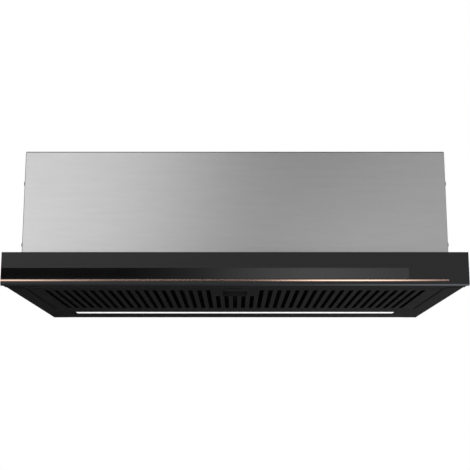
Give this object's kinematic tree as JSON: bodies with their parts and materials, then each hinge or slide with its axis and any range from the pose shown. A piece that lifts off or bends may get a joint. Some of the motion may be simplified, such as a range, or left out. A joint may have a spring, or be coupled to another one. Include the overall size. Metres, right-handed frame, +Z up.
{
  "type": "built-in range hood",
  "caption": "Pull-out built-in range hood: brushed steel casing, black front panel with a copper line, slotted filter drawer that slides forward, light strip and top duct collar.",
  "frame": {"origin": "under the middle of the hood, level with the front panel's lower edge", "axes": "+X to the right seen from the front, +Y to the wall behind, +Z up"},
  "size_m": [0.598, 0.31, 0.2232],
  "materials": {
    "black_facing": "satin black anodised",
    "black_gloss": "gloss black",
    "copper": "polished copper",
    "black_extrusion": "black anodised",
    "black_plastic": "moulded black",
    "circuit_board": "lacquered board",
    "zinc_screw": "zinc plated",
    "black_paint": "black powder coat",
    "runner_zinc": "zinc plated",
    "bearing_steel": "ground balls",
    "magnet_nickel": "nickel plated",
    "lead_pvc": "grey sheath",
    "filter_aluminium": "mill finish mesh",
    "spring_steel": "spring steel",
    "stainless": "horizontally brushed",
    "galvanised": "galvanised sheet",
    "opal": "opal lens",
    "grey_plastic": "moulded grey",
    "motor_iron": "painted motor can",
    "white_plastic": "moulded white",
    "shaft_steel": "ground shaft"
  },
  "bodies": {
    "housing": {"side_rail_left": "black_paint", "side_rail_right": "black_paint", "rear_rail": "black_paint", "led_channel": "filter_aluminium", "led_board": "circuit_board", "led_diffuser": "opal", "runner_outer_left": "runner_zinc", "runner_outer_right": "runner_zinc", "base_plate": "galvanised", "inner_filter_frames": "filter_aluminium", "inner_filter_mesh": "filter_aluminium", "casing_front": "stainless", "casing_side_left": "galvanised", "casing_side_right": "galvanised", "casing_back": "galvanised", "casing_top": "galvanised", "casing_screws": "zinc_screw", "blower_shell_left": "grey_plastic", "blower_shell_right": "grey_plastic", "inlet_ring": "grey_plastic", "motor_bracket": "galvanised", "motor_body": "motor_iron", "run_capacitor": "white_plastic", "control_box": "white_plastic", "control_box_lid": "white_plastic", "mains_board": "circuit_board", "terminal_block": "white_plastic", "cable_gland": "black_plastic", "reed_switch": "black_plastic", "wiring": "lead_pvc", "outlet_collar": "grey_plastic"},
    "drawer": {"panel_facing": "black_facing", "control_strip": "black_gloss", "copper_trim": "copper", "panel_profile": "black_extrusion", "panel_end_cap_left": "black_plastic", "panel_end_cap_right": "black_plastic", "touch_board": "circuit_board", "panel_screws": "zinc_screw", "drawer_tray": "black_paint", "filter_stops": "black_paint", "drawer_cover": "black_paint", "drawer_magnet": "magnet_nickel", "latch_keeper": "spring_steel", "runner_inner_left": "runner_zinc", "runner_inner_right": "runner_zinc"},
    "ball_cages": {"ball_cage_left": "runner_zinc", "ball_cage_right": "runner_zinc", "runner_balls": "bearing_steel"},
    "filter": {"filter_face": "black_paint", "filter_mesh": "filter_aluminium", "filter_back": "filter_aluminium", "filter_pivots": "zinc_screw", "latch_cup": "black_plastic", "latch_spring": "spring_steel"},
    "latch": {"filter_latch": "black_plastic"},
    "impeller": {"impeller": "grey_plastic", "motor_shaft": "shaft_steel"},
    "front_flap": {"flap_front": "grey_plastic"},
    "rear_flap": {"flap_rear": "grey_plastic"}
  },
  "joints": [
    {"name": "drawer_slide", "type": "slide", "parent": "housing", "child": "drawer", "axis": [0, -1, 0], "range_m": [0, 0.17]},
    {"name": "ball_cage_slide", "type": "slide", "parent": "housing", "child": "ball_cages", "axis": [0, -1, 0], "range_m": [0, 0.085]},
    {"name": "filter_swing", "type": "hinge", "parent": "drawer", "child": "filter", "pos_m": [0, 0.059, 0.0059], "axis": [1, 0, 0], "range_deg": [0, 60], "deforming": ["latch_keeper"]},
    {"name": "latch_slide", "type": "slide", "parent": "filter", "child": "latch", "axis": [0, 1, 0], "range_m": [0, 0.005], "stiffness_N_per_m": 300, "springref_m": -0.004, "deforming": ["latch_spring"]},
    {"name": "impeller_spin", "type": "hinge", "parent": "housing", "child": "impeller", "pos_m": [0, -0.024, 0.1188], "axis": [1, 0, 0], "continuous": true},
    {"name": "front_flap_swing", "type": "hinge", "parent": "housing", "child": "front_flap", "pos_m": [0, 0.0414, 0.2022], "axis": [-1, 0, 0], "range_deg": [0, 78]},
    {"name": "rear_flap_swing", "type": "hinge", "parent": "housing", "child": "rear_flap", "pos_m": [0, 0.0486, 0.2022], "axis": [1, 0, 0], "range_deg": [0, 78]}
  ],
  "couplings": [
    {"joint": "ball_cage_slide", "follows": "drawer_slide", "ratio": 0.5}
  ]
}
